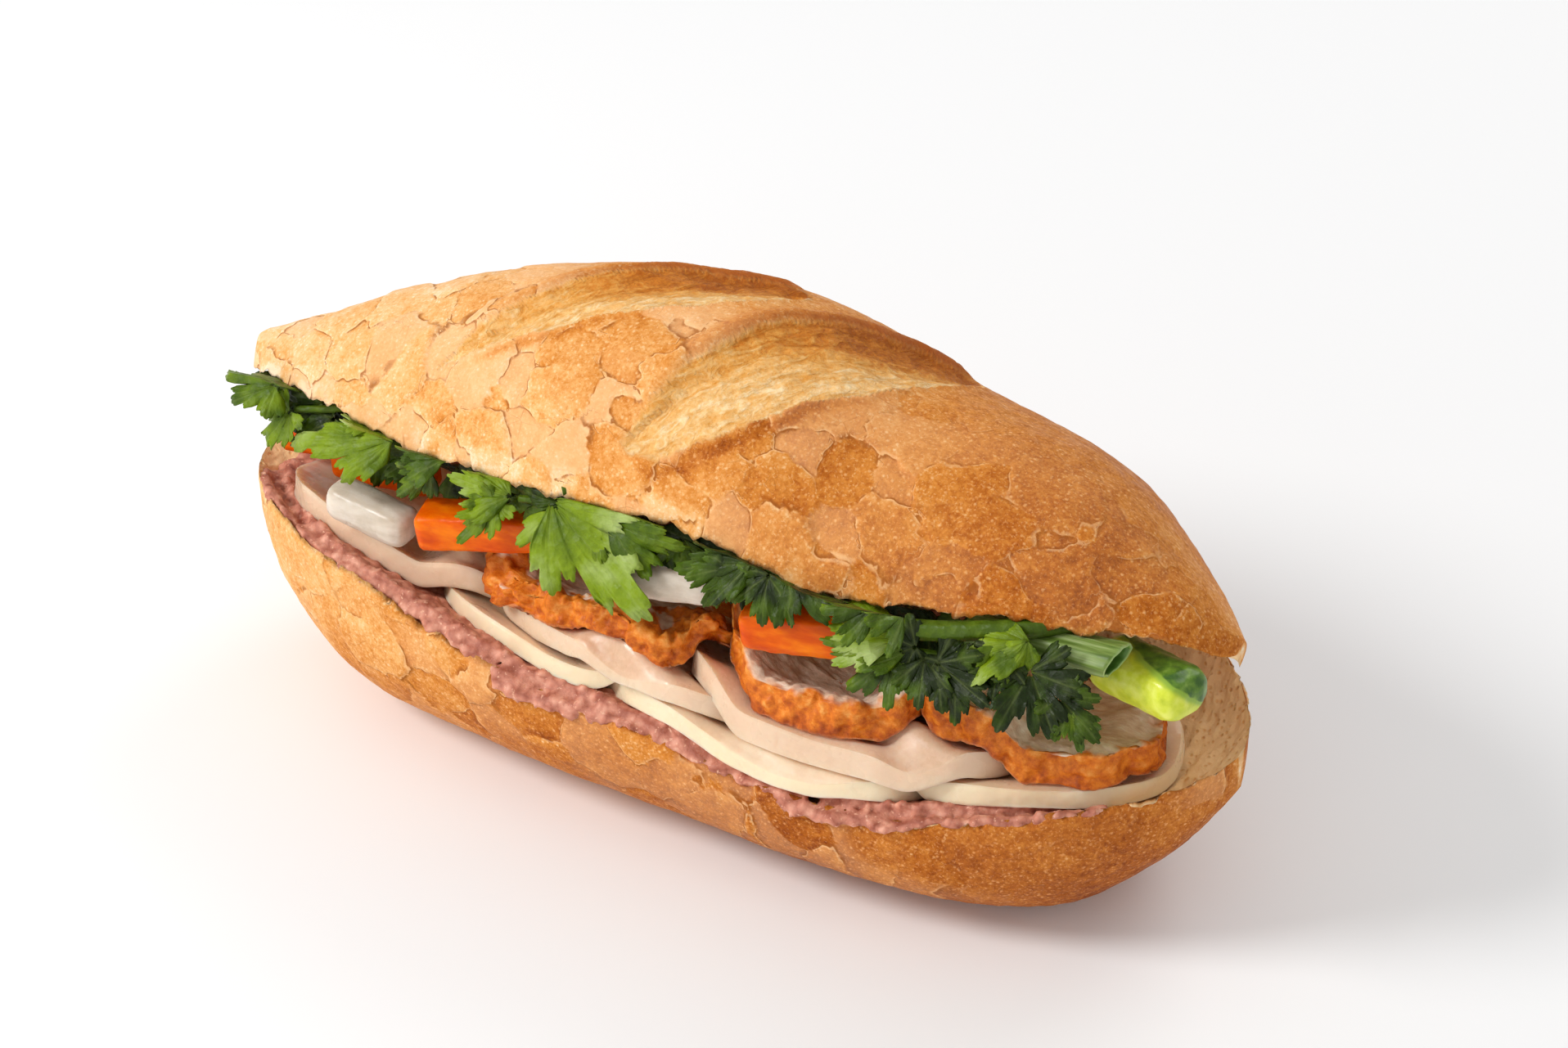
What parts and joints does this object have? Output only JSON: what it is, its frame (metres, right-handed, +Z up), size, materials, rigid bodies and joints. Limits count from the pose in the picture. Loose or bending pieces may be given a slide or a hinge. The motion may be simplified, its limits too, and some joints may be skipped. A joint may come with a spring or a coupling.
{
  "type": "banh mi sandwich",
  "caption": "Banh mi sandwich: a crusty split roll, open at the front over pate, cold cuts, roast pork, pickled carrot and daikon, cucumber, spring onion and coriander",
  "frame": {"origin": "middle of the sandwich's box in plan, on the flat base of the roll", "axes": "+X along the roll, -Y towards the open front where the fillings show, +Z up"},
  "size_m": [0.2252, 0.0892, 0.1028],
  "materials": {
    "crust": "baked bread crust, golden brown with flaky cracked plates, pale crumb where it is cut",
    "pate": "coarse moist liver pate, pinkish brown",
    "ham": "pale cream cold cut with a crisp moist edge",
    "pork_roll": "smooth pinkish beige pork roll, slightly translucent",
    "roast_pork": "roast pork with a rough orange-brown crust and grey-beige meat",
    "carrot": "wet bright orange pickled carrot",
    "daikon": "wet translucent white pickled daikon",
    "cucumber": "wet yellow-green cucumber flesh with dark green skin",
    "spring_onion": "waxy green stalk with fine lengthwise stripes",
    "coriander": "fresh green leaves with a soft sheen"
  },
  "bodies": {
    "root": {"bread_bottom": "crust", "bread_top": "crust", "pate": "pate", "ham_slice_left": "ham", "ham_slice_middle": "ham", "ham_slice_right": "ham", "pork_roll_left": "pork_roll", "pork_roll_middle": "pork_roll", "pork_roll_right": "pork_roll", "roast_pork_left": "roast_pork", "roast_pork_middle": "roast_pork", "roast_pork_right": "roast_pork", "carrot_left": "carrot", "carrot_right": "carrot", "carrot_back": "carrot", "carrot_end": "carrot", "daikon_left": "daikon", "daikon_right": "daikon", "daikon_back": "daikon", "cucumber": "cucumber", "spring_onion": "spring_onion", "coriander": "coriander"}
  },
  "joints": []
}
